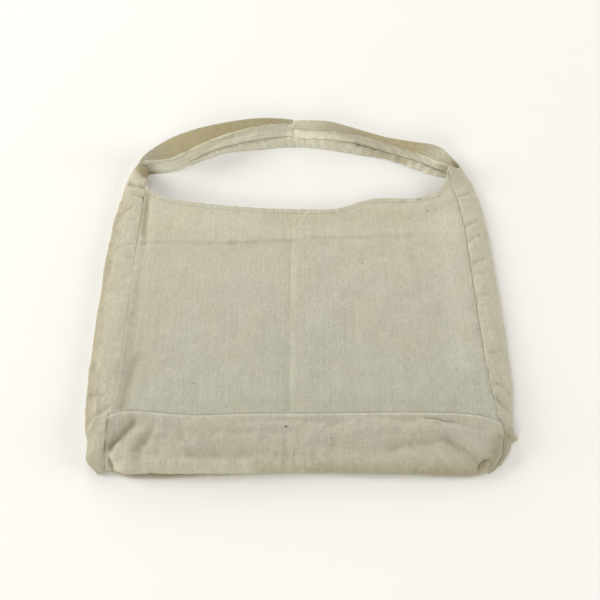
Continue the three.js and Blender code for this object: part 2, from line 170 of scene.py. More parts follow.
# Folds along straight lines seen from above, as x1, y1, x2, y2, width and depth, which is negative where
# they stand up. They are soft, unless a seventh value, the power by which a fold falls off, makes them a
# pressed crease or a lap, whose lower layer is to the left.
SOFT, CREASE, LAP = 2, 1, 0
FRONT_FOLDS = {
    "centre crease": (-14, 262, -14, 0, 5, 1.5, CREASE),
    "centre ridge": (-8, 240, -8, 0, 3, -0.4),
    "packing crease left": (-184, 227, -84, 220, 4, -1.1, CREASE),
    "packing crease middle": (-84, 220, 10, 228, 4, -1.1, CREASE),
    "packing crease right": (10, 228, 184, 240, 4, -1.1, CREASE),
    "first dent": (97, 215, 90, 198, 4, 0.8),
    "second dent": (131, 214, 128, 194, 4, 0.7),
    "left valley, top": (-187, 292, -182, 224, 5, 1.8),
    "left valley, low": (-182, 224, -183, 30, 6, 1.2),
    "soft band": (86, 206, 34, 178, 12, 1),
    "pull at the hem": (2, 268, -8, 246, 2.5, 0.6),
    "hollow over the base": (-150, 8, 140, 9, 5, 0.8),
    "left corner pull": (-176, 60, -183, 4, 6, 2),
}
BASE_FOLDS = {
    "centre crease": (-17, -24, -20, -58, 3, 1.6, CREASE),
    "first long hollow": (-118, -24, -50, -22, 5, 1.2),
    "second long hollow": (-112, -43, -62, -42, 5, 3.6),
    "third long hollow": (-55, -41, 10, -43, 5, 3),
    "fourth long hollow": (30, -34, 84, -37, 6, 2.6),
    "fifth long hollow": (90, -36, 126, -31, 6, 3.2),
    "left low roll": (-182, -53, -50, -53, 5, -2.4),
    "right low roll": (-50, -53, 130, -53, 5, -1.4),
    "left dent": (-170, -10, -193, -35, 6, 5.4),
    "second left dent": (-150, -20, -160, -40, 5, 2.1),
    "left ridge": (-194, -42, -164, -46, 3.5, -2.4),
    "left hook": (-191, -46, -186, -56, 2.2, 3, CREASE),
    "right tuck": (112, -5, 154, -13, 5, 2, LAP),
    "hollow after the tuck": (150, -11, 178, -17, 4, 1.8),
    "right dent": (142, -28, 168, -45, 8.5, 5.8),
    "low right dent": (174, -47, 185, -47, 4, 3),
    "right corner tuck": (171, -57, 184, -45, 4, 4.5, LAP),
    "first gather": (-27, -42, -30, -57, 2, 0.9),
    "second gather": (-9, -40, -9, -57, 2, 1.5),
    "third gather": (1, -42, 3, -57, 2.2, 1.3),
}
LEFT_FOLDS = {
    "end of the base seam": (-195, -5, -208, -5, 2.2, -1.8, CREASE),
    "fold to the corner": (-208, -5, -216, -24, 2.2, -1.8, CREASE),
    "hollow over the fold": (-196, 6, -214, -6, 4, 2),
    "pull over the base": (-219, 26, -204, 23, 2.5, 1.8),
    "ridge over the base": (-211, 22, -208, 4, 2, -1.4),
    "shoulder fold": (-203, 343, -193, 331, 4, 3),
    "first pucker": (-212, 320, -195, 311, 3.5, 2.6),
    "second pucker": (-204, 300, -190, 293, 3, 1.8),
    "third pucker": (-219, 268, -204, 278, 2.5, 1.2),
    "fourth pucker": (-224, 248, -206, 236, 2.5, 1.2),
    "fifth pucker": (-214, 216, -194, 222, 2.5, 1.1),
    "sixth pucker": (-219, 199, -205, 188, 2.5, 1),
    "low pull": (-222, 60, -197, 40, 5, 1.2),
}
RIGHT_FOLDS = {
    "fold to the tab": (193, -8, 211, -13, 2.2, 1.6, CREASE),
    "ridge over the tab": (195, -3, 212, 11, 2.5, -1),
    "hollow over the tab": (197, 18, 207, 6, 3.5, 2.2),
    "first pucker": (190, 297, 201, 304, 2.5, 2),
    "second pucker": (192, 249, 203, 258, 2.5, 2),
    "third pucker": (194, 227, 206, 239, 2.5, 2),
    "fourth pucker": (197, 196, 207, 204, 2.5, 1.6),
    "fifth pucker": (194, 146, 206, 152, 2.5, 1.5),
    "sixth pucker": (198, 74, 211, 80, 2.5, 1.6),
    "seventh pucker": (199, 35, 212, 28, 2.5, 1.6),
    "low pull": (196, 50, 212, 66, 5, 1.2),
}

# Painted shade in the same columns, with its strength as depth: in folds, dents, hollows, puckers and seams,
# under the strap's strip, and along the base's low edge and the gussets' folded edges. The front panel's
# lines along the packing crease, under the mouth and down its left side are only darker.
LEFT_END_SEAM = (-195.7, -9, -196.2, -40, 1, 0.9)  # painted shade along the seam, on both sides of the base's left end
FRONT_SHADE_AND_MARKS = {
    "beside the left seam, top": (-190, 300, -187, 240, 5, 0.55),
    "beside the left seam, low": (-192, 150, -186, 12, 14, 0.15),
    "left corner": (-175, 70, -181, 5, 6, 0.35),
    "over the base seam": (-150, 6, 150, 6, 7, 0.13),
    "packing crease, left": (-178, 224, -84, 219.5, 3, 0.17),
    "packing crease, middle": (-84, 219.5, -12, 224, 3.5, 0.25),
    "packing crease, right": (-2, 228, 130, 230, 2.2, 0.15),
    "down the left side": (-165, 235, -172, 80, 35, 0.07),
    "under the mouth": (-40, 258, 115, 262, 13, 0.1),
}
BASE_SHADE = {
    "low edge, left": (-45, -57, 5, -58, 6, 0.35),
    "low edge, right": (15, -58, 180, -60, 8, 0.6),
    "first long hollow": (-118, -24, -70, -22, 9, 0.12),
    "left end seam": LEFT_END_SEAM,
    "left dent": (-167, -10, -192, -34, 5.5, 0.6),
    "second left dent": (-154, -26, -165, -39, 6, 0.4),
    "hook": (-191, -46, -186, -56, 2, 0.7),
    "fifth long hollow": (95, -33, 132, -31, 5, 0.2),
    "right dent": (146, -31, 168, -45, 5, 0.3),
    "right end": (197, -25, 184, -52, 7, 0.5),
    "right corner": (171, -57, 184, -45, 1.2, 0.5),
}
LEFT_SHADE = {
    "left end seam": LEFT_END_SEAM,
    "folded edge, high": (-221, 292, -226, 250, 13, 0.4),
    "folded edge, middle": (-227, 230, -227, 110, 11, 0.58),
    "folded edge, low": (-226, 92, -219, -5, 11, 0.55),
    "folded edge, base": (-217, -24, -212, -46, 9, 0.4),
    "shoulder fold": (-203, 343, -194, 332, 6, 1.2),
    "under the strip's start": (-197, 345, -182, 341, 5.5, 1.1),
    "first pucker": (-210, 318, -197, 312, 4, 0.5),
    "second pucker": (-200, 300, -191, 294, 3, 0.3),
}
RIGHT_SHADE = {
    "base's end": (204, -22, 186, -54, 9, 0.6),
    "shoulder fold": (172, 352, 192, 346, 5, 0.5),
    "hem": (72, 391, 128, 363, 5, 0.5),
}
# Lighter places on the front panel, with the share of the paler tone as depth
FRONT_PALE = {
    "beside the right seam": (168, 258, 164, 60, 16, 0.17),
    "over the packing crease": (-150, 264, -75, 256, 16, 0.09),
}
LAP_OVER = 0.5  # how far a lap's upper layer stands up, as a share of its depth
LAP_STEP = 0.9  # half width of its step
LAP_ENDS = 0.3  # share of its length over which it fades out

# Wrinkles of the cloth everywhere, as (size, height)
PANEL_WRINKLES = ((75, 1.1), (30, 0.75), (12, 0.4), (6, 0.1))
BASE_WRINKLES = ((50, 1.2), (20, 1.2), (9, 0.8), (5, 0.3))
BAND_WRINKLES = ((34, 0.9), (15, 0.75), (7, 0.5), (4, 0.15))
# Wrinkles that run one way, as (height, width, slimness), and how far some reach
BASE_PULLS = (1.6, 11, 0.2)
HEM_RIPPLES, RIPPLE_REACH = (0.7, 4, 0.3), 9
PANEL_PUCKERS, PANEL_PUCKER_REACH = (1.1, 5.5, 0.2), 8
BAND_PUCKERS, BAND_PUCKER_REACH = (1, 5.5, 0.2), 9
PUCKERS_START = 2  # distance from a seam over which puckers set in
STRAP_PULLS = (0.9, 6, 0.16)
PULLS_START, PULLS_FULL = 0.1, 0.3  # shares of the back half between which they set in
HEM_LUMPS = (1.3, 7, 0.5)
# Seeds of the noise, and what a band's kinds of wrinkle add to its own
SEEDS = {"front": 3, "ripples": 9, "puckers": 14, "base": 21, "base pulls": 27, "left": 31, "right": 57}
PUCKER_SEED, PULL_SEED, LUMP_SEED = 10, 20, 30

# How far the base's lower layer reaches out past its belly, as (x, reach)
LIP = ((-200, 3), (-185, 5), (-135, 4.5), (-95, 2.5), (-60, 0.5), (-40, 0), (200, 0))
LIP_LINE = 0.02  # half width of the painted shade line over that layer, as a share of the base's section
LIP_SHOWS = 2  # reach from which that line has its full strength

# Knots and dark threads in the cloth: place, length, radius and direction from above in degrees
DARK_KNOTS = {
    "front_cloth": (
        (148, 272, 0.6, 0.8, 0), (67, 191, 0.8, 0.5, 0), (-99, 131, 0.6, 0.45, 0), (-132, 278, 0.8, 0.4, 90),
        (-113, 33, 0.8, 0.45, 0), (138, 290, 2.2, 0.35, 80), (142, 291, 2.2, 0.35, 80),
    ),
    "base_cloth": ((-17.5, -17.6, 1.8, 0.7, 0),),
}
PALE_KNOTS = {"right_band_cloth": ((202, 94, 0.6, 0.8, 0), (195, 173, 1.6, 0.7, 60))}

# Mesh steps
BAND_STEPS = 400
BACK_STEPS, BEND_STEPS, FRONT_STEPS = 40, 10, 26
STRIP_SPACING = 1.6  # power that crowds the back half's columns towards the crease
FRONT_COLUMNS, FRONT_ROWS, HEM_ROWS = 240, 145, 40
HEM_STARTS = 0.95  # share of the front panel's height where its rows get closer
BASE_COLUMNS, BASE_ROWS = 260, 100
BACK_COLUMNS, BACK_ROWS = 60, 48
CAPSULE_SIDES = 6
SAMPLES_PER_ROW = 20  # to measure a band's length
LATTICE = 64  # cells of the noise before it repeats
NOISE_GAIN = 1.5  # brings it to about -1 to 1
NO_EDGE = 99  # a distance that stands for no edge near


def lerp(low, high, share):
    return low + (high - low) * share


def smooth(value, low, high):
    """0 below low, 1 above high, and a soft step between them."""
    share = np.clip((value - low) / (high - low), 0, 1)
    return share * share * (3 - 2 * share)


def bell(distance, width):
    """1 at no distance, and close to 0 at twice the width."""
    return np.exp(-((distance / width) ** 2))


def smooth_rows(rows, shares):
    """A table's columns at shares of its length, on a smooth curve through its rows."""
    rows = np.asarray(rows, float)
    padded = np.vstack([2 * rows[0] - rows[1], rows, 2 * rows[-1] - rows[-2]])
    place = np.clip(shares, 0, 1) * (len(rows) - 1)
    first = np.minimum(place.astype(int), len(rows) - 2)
    part = (place - first)[..., None]
    p0, p1, p2, p3 = (padded[first + k] for k in range(4))
    bend = 2 * p0 - 5 * p1 + 4 * p2 - p3
    return p1 + 0.5 * part * (p2 - p0 + part * (bend + part * (3 * (p1 - p2) + p3 - p0)))


def line_through(points, samples=400):
    """A smooth line through (x, y) points, as a function that gives y at x."""
    x_along, y_along = smooth_rows(points, np.linspace(0, 1, samples)).T
    return lambda x: np.interp(x, x_along, y_along)


def x_between(points, across):
    """x at a share of the way from a line's first point to its last."""
    return lerp(points[0][0], points[-1][0], across)


def lengths_along(points):
    """Distance of each point from the first row, along the columns of points."""
    steps = np.linalg.norm(np.diff(points, axis=0, prepend=points[:1]), axis=-1)
    return np.cumsum(steps, axis=0)


def noise(x, y, size, seed):
    """Smooth bumps about size across, between about -1 and 1, the same in every run."""
    angles = np.random.default_rng(seed).uniform(0, 2 * np.pi, (LATTICE, LATTICE))
    cell_x, cell_y = np.floor(x / size), np.floor(y / size)
    part_x, part_y = x / size - cell_x, y / size - cell_y
    total = np.zeros(np.broadcast(x, y).shape)
    for step_x in (0, 1):
        for step_y in (0, 1):
            row = (cell_x.astype(int) + step_x) % LATTICE
            column = (cell_y.astype(int) + step_y) % LATTICE
            angle = angles[row, column]
            far_x, far_y = part_x - step_x, part_y - step_y
            weight = smooth(1 - abs(far_x), 0, 1) * smooth(1 - abs(far_y), 0, 1)
            total += weight * (np.cos(angle) * far_x + np.sin(angle) * far_y)
    return NOISE_GAIN * total


def crumple(x, y, layers, seed):
    """Several sizes of noise, each layer a (size, height) pair."""
    return sum(height * noise(x, y, size, seed + k) for k, (size, height) in enumerate(layers))


def streaks(over, along, kind, seed):
    """Wrinkles that run one way: over counts across them, along their length."""
    height, width, slim = kind
    return height * noise(over, along * slim, width, seed)


def fold_depth(x, y, folds):
    """How far a table's folds press the cloth in, at places seen from above."""
    depth = np.zeros(np.broadcast(x, y).shape)
    for x1, y1, x2, y2, width, press, *kind in folds.values():
        power = kind[0] if kind else SOFT
        run_x, run_y = x2 - x1, y2 - y1
        share = np.clip(((x - x1) * run_x + (y - y1) * run_y) / (run_x**2 + run_y**2), 0, 1)
        off_x, off_y = x - x1 - share * run_x, y - y1 - share * run_y
        far = np.hypot(off_x, off_y) / width
        if power != LAP:
            depth += press * np.exp(-(far**power))
        else:
            sideways = ((x - x1) * -run_y + (y - y1) * run_x) / np.hypot(run_x, run_y)
            ends = smooth(np.minimum(share, 1 - share), 0, LAP_ENDS)
            layer = lerp(-LAP_OVER, 1, smooth(sideways, -LAP_STEP, LAP_STEP))
            depth += press * ends * np.exp(-far) * layer
    return depth


def unit(vectors):
    return vectors / np.linalg.norm(vectors, axis=-1, keepdims=True)


def grid_normals(grid):
    """Unit normals of a grid of points, rows first."""
    return unit(np.cross(np.gradient(grid, axis=1), np.gradient(grid, axis=0)))


# The frame's place of the table's zero point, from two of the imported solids
STRAP_SEAM_X = LEFT_BAND["strap seam"][0]
CAD_SEAM_GAP = 0.9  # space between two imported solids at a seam
ORIGIN = np.array((
    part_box("left_side_band")[1].x - STRAP_SEAM_X * MM,
    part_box("back_panel")[0].y - (REAR_SEAM_Y + CAD_SEAM_GAP / 2) * MM,
    0.0,
))


def to_frame(points):
    return np.asarray(points, float) * MM + ORIGIN


def new_object(name, data):
    """An object in the scene, around a mesh, a lamp or a camera."""
    holder = bpy.data.objects.new(name, data)
    bpy.context.scene.collection.objects.link(holder)
    return holder


def new_mesh(name, points, faces):
    """A smooth mesh object, from points in millimetres."""
    mesh = bpy.data.meshes.new(name)
    mesh.from_pydata(to_frame(points).tolist(), [], faces)
    mesh.polygons.foreach_set("use_smooth", [True] * len(mesh.polygons))
    return new_object(name, mesh)


def rim_of(grid):
    """What a grid holds along its edge, anticlockwise seen from its upper side."""
    return np.concatenate([grid[0, :-1], grid[:-1, -1], grid[-1, :0:-1], grid[:0:-1, 0]])


def rim_outward(grid):
    """Unit vectors that point out of a grid's edge, in the order of rim_of."""
    outward = np.zeros_like(grid)
    outward[0] += grid[0] - grid[1]
    outward[-1] += grid[-1] - grid[-2]
    outward[:, 0] += grid[:, 0] - grid[:, 1]
    outward[:, -1] += grid[:, -1] - grid[:, -2]
    return unit(rim_of(outward))


skins = {}  # the points of every sheet, by name


def cloth(name, grid, flat, upper=CLOTH / 2, lower=CLOTH / 2, light_and_shade=0.0, shade_and_marks=0.0):
    """A closed sheet round a grid of points, with a rounded rim.

    flat holds each point's place on the cut cloth, upper and lower the heights of the two skins from the
    grid, and the last two the share of painted shade, or below 0 of the paler tone, and that of the darker
    tone, mostly painted shade.
    """
    shape = grid.shape[:2]
    normals = grid_normals(grid)
    top = grid + normals * np.broadcast_to(upper, shape)[..., None]
    bottom = grid - normals * np.broadcast_to(lower, shape)[..., None]
    middle = (rim_of(top) + rim_of(bottom)) / 2 + rim_outward(grid) * CLOTH / 2
    points = np.concatenate([top.reshape(-1, 3), bottom.reshape(-1, 3), middle])

    count = math.prod(shape)
    index = np.arange(count).reshape(shape)
    rim = rim_of(index)
    corners = (index[:-1, :-1], index[:-1, 1:], index[1:, 1:], index[1:, :-1])
    upper_faces = np.stack(corners, -1).reshape(-1, 4)
    lower_faces = count + upper_faces[:, ::-1]
    ring = 2 * count + np.arange(len(rim))
    next_rim, next_ring = np.roll(rim, -1), np.roll(ring, -1)
    rim_faces = np.concatenate([
        np.stack([next_rim, rim, ring, next_ring], -1),
        np.stack([next_ring, ring, count + rim, count + next_rim], -1),
    ])
    faces = np.concatenate([upper_faces, lower_faces, rim_faces])
    piece = new_mesh(name, points, faces.tolist())

    flat = flat.reshape(-1, 2)
    place = np.concatenate([flat, flat, flat[rim]]) * MM
    layer = piece.data.uv_layers.new(name="cloth")
    layer.data.foreach_set("uv", place[faces.reshape(-1)].astype(np.float32).ravel())
    for word, value, through in (("light_and_shade", light_and_shade, 0), ("shade_and_marks", shade_and_marks, 1)):
        shade = np.broadcast_to(value, shape).reshape(-1)
        shades = np.concatenate([shade, shade * through, shade[rim] / 2])
        attribute = piece.data.attributes.new(word, "FLOAT", "POINT")
        attribute.data.foreach_set("value", shades.astype(np.float32))
    skins[name] = points
    return piece


# Shares along a band's section: over the back half, round the crease and over the front half
BACK = np.pad(np.linspace(1, 0, BACK_STEPS + 1) ** STRIP_SPACING, (0, BEND_STEPS + FRONT_STEPS))
BEND = np.pad(np.linspace(0, 1, BEND_STEPS + 1), (BACK_STEPS, FRONT_STEPS), mode="edge")
FRONT = np.pad(np.linspace(0, 1, FRONT_STEPS + 1), (BACK_STEPS + BEND_STEPS, 0))


class Band:
    """A gusset folded in half lengthwise, which goes on past the shoulder as one half of the strap.

    inward is 1 for the left band, whose inside lies to the right of its run, and -1 for the right one.
    """

    def __init__(self, rows, inward):
        self.names = list(rows)
        self.rows = np.array([(*row, *NO_STRIP)[: len(BAND_COLUMNS)] for row in rows.values()], float)
        self.inward = inward
        shares = np.linspace(0, 1, SAMPLES_PER_ROW * len(rows))
        lengths = lengths_along(smooth_rows(self.rows[:, :2], shares))
        even = np.linspace(0, lengths[-1], BAND_STEPS + 1)
        self.shares = np.interp(even, lengths, shares)
        c = self.columns(self.shares)
        self.c = c
        self.across = c["front"] * FRONT + math.pi * c["bend"] * BEND - c["back"] * BACK
        self.along = np.broadcast_to(even[:, None], self.across.shape)
        self.from_front = c["front"] * (1 - FRONT)
        from_back = np.where(BACK > 0, c["back"] * (1 - BACK), NO_EDGE)
        self.from_edge = np.where(FRONT > 0, self.from_front, from_back)
        self.on_strap = smooth(self.shares, self.share("turn"), self.share("strap foot"))[:, None]
        self.on_hem = smooth(BACK, c["gap"], c["gap"] + HEM_SETS_IN) * self.on_strap

    def share(self, name):
        return self.names.index(name) / (len(self.names) - 1)

    def columns(self, along):
        values = smooth_rows(self.rows, along)
        return dict(zip(BAND_COLUMNS, values.T[..., None]))

    def points(self, along, back=BACK, bend=BEND, front=FRONT):
        """Places on the cloth: back runs 1 to 0 from the back edge to the crease, bend 0 to 1 round it, and
        front 0 to 1 on to the front edge."""
        c = self.columns(along)
        turn = np.radians(c["turn"] + c["twist"] * bend)
        tilt = np.radians(c["tilt"])
        round_crease = (math.pi - tilt) * bend
        swell = c["bulge"] * np.sin(math.pi * front)
        reach = c["bend"] * (1 - np.sin(round_crease)) + (c["back"] - c["bend"]) * back
        reach = reach + c["front"] * front * np.cos(tilt) - swell * np.sin(tilt)
        height = LOW_PLANE + c["bend"] * (1 - np.cos(round_crease))
        height = height + c["front"] * front * np.sin(tilt) + swell * np.cos(tilt)
        height = height + self.strip(c, back)
        x = c["x"] + self.inward * reach * np.cos(turn)
        y = c["y"] - reach * np.sin(turn)
        return np.stack(np.broadcast_arrays(x, y, height), -1)

    @staticmethod
    def groove(c, back):
        """1 on the line between the strap's strip and its hem, 0 away from it."""
        return bell((back - c["gap"]) * c["back"], GROOVE)

    def strip(self, c, back):
        """Height of the strap's crease, of the soft strip beside it and of the hem at the back edge."""
        inner = np.clip(back / c["gap"], 0, 1)
        outer = np.clip((back - c["gap"]) / (1 - c["gap"]), 0, 1)
        fall = lerp(STRIP_END, 1, np.cos(math.pi / 2 * inner))
        valley = VALLEY * bell(c["back"] * back, VALLEY_WIDTH)
        strip = c["puff"] * (fall * (1 - outer**3) - valley)
        depth = np.clip(c["roll"] / GROOVE_ROLL, 0, GROOVE_DEEPEST)
        return (strip + c["roll"] * np.sin(math.pi * outer)) * (1 - depth * self.groove(c, back))

    def front_edge(self, along):
        return self.points(along, 0, 1, 1)[:, 0]

    def back_edge(self, along):
        return self.points(along, 1, 0, 0)[:, 0]

    def edge_at(self, edge, y, samples=300):
        """x and z of an edge at given y, between the base corner and the lift of the strap."""
        x, up, z = edge(np.linspace(0, self.share("lift"), samples)).T
        return np.interp(y, up, x), np.interp(y, up, z)

    def wrinkles(self, seed):
        """Heights of the wrinkles, of the puckers by the seam, and of the strap's pulls and lumps."""
        across, along = self.across, self.along
        everywhere = crumple(across, along, BAND_WRINKLES, seed) * smooth(self.from_edge, 0, SEAM_STILL)
        puckers = streaks(along, across, BAND_PUCKERS, seed + PUCKER_SEED)
        puckers *= np.exp(-self.from_front / BAND_PUCKER_REACH) * smooth(self.from_edge, 0, PUCKERS_START)
        pulls = streaks(across, along, STRAP_PULLS, seed + PULL_SEED) * smooth(BACK, PULLS_START, PULLS_FULL)
        lumps = streaks(along, across, HEM_LUMPS, seed + LUMP_SEED) * self.on_hem
        return everywhere + puckers * (1 - self.on_strap) + pulls * self.on_strap + lumps

    def light_and_shade(self):
        """Share of painted shade on the front half's inside, or below 0 of painted light on the strap."""
        beside_crease = bell(self.c["back"] * BACK, STRIP_EDGE)
        paler_share = self.c["paler_share"] * (1 + STRIP_EDGE_GLOW * beside_crease) * (1 - smooth(FRONT, 0, PALER_ENDS))
        paler_share = paler_share * lerp(1, HEM_PALER, self.on_hem)
        return self.c["light_and_shade"] * smooth(FRONT, 0, SHADE_STARTS) - self.on_strap * paler_share

    def crevice_shade(self):
        """Strength of the painted shade in the groove between the strap's strip and its hem."""
        depth = np.clip(self.c["roll"] / GROOVE_ROLL, 0, 1)
        return CREVICE_SHADE * self.groove(self.c, BACK) * self.on_strap * depth**2

    def upper(self):
        """Half a layer, and the cloth turned at the strap's seam."""
        from_seam = self.along[-1:] - self.along
        turned = 1 - smooth(from_seam, ALLOWANCE - ALLOWANCE_SLOPE, ALLOWANCE + ALLOWANCE_SLOPE)
        return CLOTH / 2 + ALLOWANCE_EXTRA * turned * (BACK > 0)


left = Band(LEFT_BAND, 1)
right = Band(RIGHT_BAND, -1)


def seam_draw(y, at_left):
    """How far a side seam is drawn in at given y, less in the lower part of the left one."""
    return SEAM_DITCH * (1 - LEFT_SEAM_EASE * smooth(-y, -EASE_STARTS, -EASE_ENDS) * at_left)


def band_piece(name, band, folds, painted_shade, seed):
    grid = band.points(band.shares)
    x, y = grid[..., 0], grid[..., 1]
    folded = fold_depth(x, y, folds) * smooth(FRONT, 0, FOLDS_START)
    drawn = seam_draw(y, band.inward > 0) * (1 - smooth(band.from_edge, 0, SEAM_SOFT))
    lift = band.wrinkles(seed) - (folded + drawn) * (1 - band.on_strap)
    strap_side = np.where(band.on_strap * BACK > 0, -1, 1)
    grid = grid + grid_normals(grid) * (band.inward * strap_side * lift)[..., None]
    grid[..., 2] = np.maximum(grid[..., 2], LOW_PLANE)
    flat = np.stack([band.across, band.along], -1)
    # shares of painted shade and light on the strap, and of painted shade in folds, puckers and the strip's
    # groove
    shades = {"light_and_shade": band.light_and_shade(), "shade_and_marks": fold_depth(x, y, painted_shade) + band.crevice_shade()}
    turned = np.s_[:, :: -band.inward]  # puts the upper skin of either band outside
    shades = {word: shade[turned] for word, shade in shades.items()}
    return cloth(name, grid[turned], flat[turned], band.upper()[turned], **shades)


mouth_at = line_through(MOUTH)
base_seam_at = line_through(BASE_SEAM)
foot_at = line_through(FOOT)
lip_at = line_through(LIP)


def front_macro(across, up):
    """Smooth form of the front panel, across from left to right and up from base seam to mouth."""
    mouth_y = mouth_at(x_between(MOUTH, across))
    seam_y = base_seam_at(x_between(BASE_SEAM, across)) + SEAM_GAP / 2
    y = lerp(seam_y, mouth_y, up)
    left_x, left_z = left.edge_at(left.front_edge, y)
    right_x, right_z = right.edge_at(right.front_edge, y)
    x = lerp(left_x + SEAM_GAP, right_x - SEAM_GAP, across)
    hump = 1 - abs(2 * across - 1) ** RISE_POWER
    rise = np.interp(up, *zip(*FRONT_RISE))
    z = lerp(left_z, right_z, across) + hump * rise
    return x, y, z, mouth_y


def front_relief(x, y, from_side, from_base, from_mouth):
    """Heights of the front panel's folds, wrinkles and sewn lines."""
    free = smooth(np.minimum(from_side, from_base), 0, SEAM_STILL)
    wrinkles = crumple(x, y, PANEL_WRINKLES, SEEDS["front"])
    ripples = streaks(x, y, HEM_RIPPLES, SEEDS["ripples"]) * bell(from_mouth, RIPPLE_REACH)
    puckers = streaks(y, x, PANEL_PUCKERS, SEEDS["puckers"]) * np.exp(-from_side / PANEL_PUCKER_REACH)
    puckers *= smooth(from_side, 0, PUCKERS_START)
    sewn = STITCH_PRESS * bell(from_mouth - HEM_STITCH, PRESS_WIDTH)
    ditch = seam_draw(y, x < 0) * (1 - smooth(from_side, 0, SEAM_SOFT))
    tuck = SEAM_TUCK * smooth(from_side, 0, TUCK_ENDS) * (1 - smooth(from_base, 0, 2 * SEAM_SOFT))
    return free * (wrinkles + ripples - fold_depth(x, y, FRONT_FOLDS)) + puckers - sewn - ditch - tuck


def front_piece():
    rows = np.r_[np.linspace(0, HEM_STARTS, FRONT_ROWS + 1), np.linspace(HEM_STARTS, 1, HEM_ROWS)[1:]]
    across, up = np.meshgrid(np.linspace(0, 1, FRONT_COLUMNS + 1), rows)
    x, y, z, mouth_y = front_macro(across, up)
    from_side = np.minimum(x - x[:, :1], x[:, -1:] - x)
    from_mouth = mouth_y - y
    z = z + front_relief(x, y, from_side, y - y[:1], from_mouth)
    in_hem = 1 - smooth(from_mouth, HEM - HEM_SLOPE, HEM)
    thick = CLOTH / 2 + HEM_EXTRA / 2 * in_hem
    grid, flat = np.stack([x, y, z], -1), np.stack([x, y], -1)
    # lighter places, then painted shade in valleys, hollows and seams with a few darker lines
    light_and_shade = -fold_depth(x, y, FRONT_PALE)
    piece = cloth("front_cloth", grid, flat, thick, thick, light_and_shade, fold_depth(x, y, FRONT_SHADE_AND_MARKS))
    return piece, skins["front_cloth"][: x.size].reshape(*x.shape, 3)


def back_piece():
    across, up = np.meshgrid(np.linspace(0, 1, BACK_COLUMNS + 1), np.linspace(0, 1, BACK_ROWS + 1))
    mouth_y = mouth_at(x_between(MOUTH, across)) + BACK_SHIFT
    y = lerp(REAR_SEAM_Y + SEAM_GAP / 2, mouth_y, up)
    left_x, _ = left.edge_at(left.back_edge, y)
    right_x, _ = right.edge_at(right.back_edge, y)
    x = lerp(left_x + SEAM_GAP, right_x - SEAM_GAP, across)
    grid = np.stack([x, y, np.full_like(x, LOW_PLANE)], -1)
    in_hem = 1 - smooth(mouth_y - y, HEM - BACK_HEM_SLOPE, HEM)
    return cloth("back_cloth", grid, np.stack([x, y], -1), CLOTH / 2 + HEM_EXTRA * in_hem)


def base_end(band, down, places=5, samples=200):
    """The end of the base beside a band: down its front edge to the floor, then under to its back edge."""
    shares = np.linspace(0, band.share("low side"), samples)
    seam_y = BASE_SEAM[0 if band is left else -1][1]
    seam = np.interp(seam_y, band.front_edge(shares)[:, 1], shares)
    curve = band.front_edge(np.linspace(seam, 0, places))
    corner = band.back_edge(np.zeros(1))
    corner[0, 1] = REAR_SEAM_Y - SEAM_GAP / 2
    curve = np.concatenate([curve, corner])
    curve[:, 0] += SEAM_GAP * band.inward
    return smooth_rows(curve, down)


def base_profile(across, down):
    """Smooth form of the base: over the belly, round the nose and back under the bag."""
    x, seam_y, top, _ = front_macro(across, np.zeros_like(across))
    seam_y = seam_y + SEAM_LAP
    foot_x = x_between(FOOT, across)
    foot = foot_at(foot_x)
    lip = lip_at(foot_x)
    nose_z = LOW_PLANE + NOSE_RADIUS
    t = np.clip(down / NOSE_STARTS, 0, 1)
    weights = ((1 - t) ** 3, 3 * (1 - t) ** 2 * t, 3 * (1 - t) * t * t, t**3)
    belly_y = (seam_y, seam_y - BELLY_REACH, foot - lip / 2, foot + lip)
    belly_z = (top, top + BELLY_SWELL, top * BELLY_FALL, nose_z)
    turn = math.pi / 2 * np.clip((down - NOSE_STARTS) / (NOSE_ENDS - NOSE_STARTS), 0, 1)
    under = np.clip((down - NOSE_ENDS) / (1 - NOSE_ENDS), 0, 1)
    y = sum(w * v for w, v in zip(weights, belly_y)) + NOSE_RADIUS * (1 - np.cos(turn))
    y = y - lip * np.sin(2 * turn)
    y = lerp(y, REAR_SEAM_Y - SEAM_GAP / 2, under)
    z = sum(w * v for w, v in zip(weights, belly_z)) - NOSE_RADIUS * np.sin(turn)
    return np.stack(np.broadcast_arrays(x, y, z), -1)


def base_grid(across, down):
    """The base's smooth form, drawn to the side bands at its two ends."""
    grid = base_profile(across, down)
    to_left = base_end(left, down[:, 0])[:, None] - grid[:, :1]
    to_right = base_end(right, down[:, 0])[:, None] - grid[:, -1:]
    left_pull = 1 - smooth(across, 0, BASE_END)
    right_pull = 1 - smooth(1 - across, 0, BASE_END)
    return grid + to_left * left_pull[..., None] + to_right * right_pull[..., None]


def base_wrinkles(x, girth):
    height, width, slim = BASE_PULLS
    pulls = height * noise(x * slim, girth, width, SEEDS["base pulls"])
    return crumple(x, girth, BASE_WRINKLES, SEEDS["base"]) + pulls


